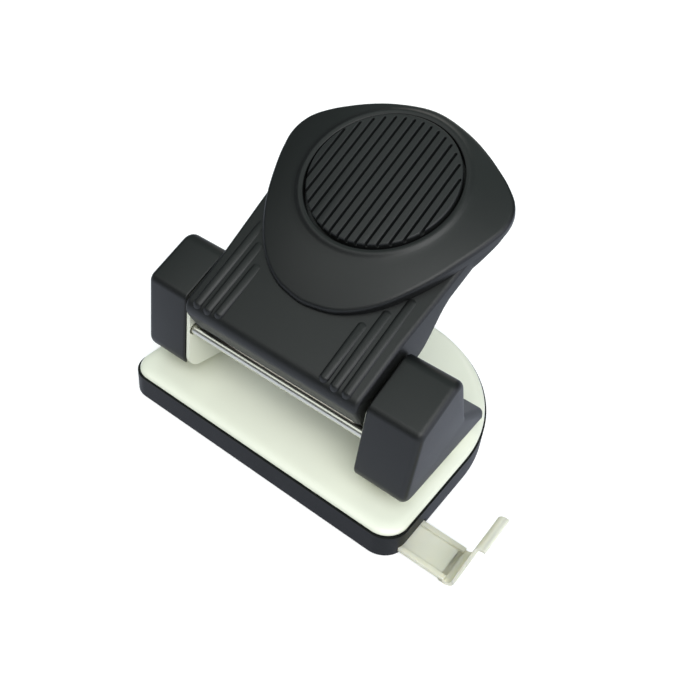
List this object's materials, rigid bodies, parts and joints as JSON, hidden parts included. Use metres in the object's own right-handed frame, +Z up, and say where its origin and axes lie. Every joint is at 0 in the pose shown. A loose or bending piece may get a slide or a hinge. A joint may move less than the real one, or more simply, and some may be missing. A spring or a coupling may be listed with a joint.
{
  "type": "two hole paper punch",
  "caption": "Desk paper punch: a chip tray with a steel top plate, two covered punch brackets, a hinged spoon-shaped handle and a sliding paper gauge.",
  "frame": {"origin": "centre of the tray's underside, on the surface it stands on", "axes": "+X to the right along the hole line, +Y from the paper's side (front) to the back, +Z up"},
  "size_m": [0.1229, 0.0836, 0.0859],
  "materials": {
    "black_plastic": "fine satin grain",
    "grip_plastic": "ribbed, slightly softer than the handle",
    "cream_paint": "cream enamel, semi-gloss",
    "ivory_plastic": "translucent, semi-gloss",
    "polished_steel": "polished",
    "bare_steel": "zinc plated"
  },
  "bodies": {
    "tray": {"base_tray": "black_plastic"},
    "gauge": {"paper_gauge": "ivory_plastic"},
    "chassis": {"base_plate": "cream_paint", "left_bracket": "cream_paint", "right_bracket": "cream_paint", "left_die_plate": "bare_steel", "right_die_plate": "bare_steel", "left_front_rivet": "bare_steel", "left_rear_rivet": "bare_steel", "right_front_rivet": "bare_steel", "right_rear_rivet": "bare_steel", "left_cover": "black_plastic", "right_cover": "black_plastic", "left_spring": "bare_steel", "right_spring": "bare_steel", "pivot_shaft": "polished_steel"},
    "handle": {"handle_shell": "black_plastic", "palm_rest": "black_plastic", "grip_disc": "grip_plastic", "lever_plate": "bare_steel", "press_bar": "polished_steel", "left_bar_clip": "bare_steel", "right_bar_clip": "bare_steel", "handle_screw_1": "bare_steel", "handle_screw_2": "bare_steel", "handle_screw_3": "bare_steel"},
    "left_punch_pin": {"left_punch": "polished_steel"},
    "right_punch_pin": {"right_punch": "polished_steel"}
  },
  "joints": [
    {"name": "chassis_lift", "type": "slide", "parent": "tray", "child": "chassis", "axis": [0, 0, 1], "range_m": [0, 0.02]},
    {"name": "gauge_slide", "type": "slide", "parent": "tray", "child": "gauge", "axis": [1, 0, 0], "range_m": [-0.012, 0.06]},
    {"name": "handle_press", "type": "hinge", "parent": "chassis", "child": "handle", "pos_m": [0, -0.0309, 0.0292], "axis": [-1, 0, 0], "range_deg": [0, 24], "stiffness_Nm_per_rad": 1, "springref_deg": -17.19},
    {"name": "left_punch_drop", "type": "slide", "parent": "chassis", "child": "left_punch_pin", "axis": [0, 0, -1], "range_m": [0, 0.0058], "deforming": ["left_spring"]},
    {"name": "right_punch_drop", "type": "slide", "parent": "chassis", "child": "right_punch_pin", "axis": [0, 0, -1], "range_m": [0, 0.0058], "deforming": ["right_spring"]}
  ],
  "couplings": [
    {"joint": "left_punch_drop", "follows": "handle_press", "m_per_rad": 0.01365},
    {"joint": "right_punch_drop", "follows": "handle_press", "m_per_rad": 0.01365}
  ]
}
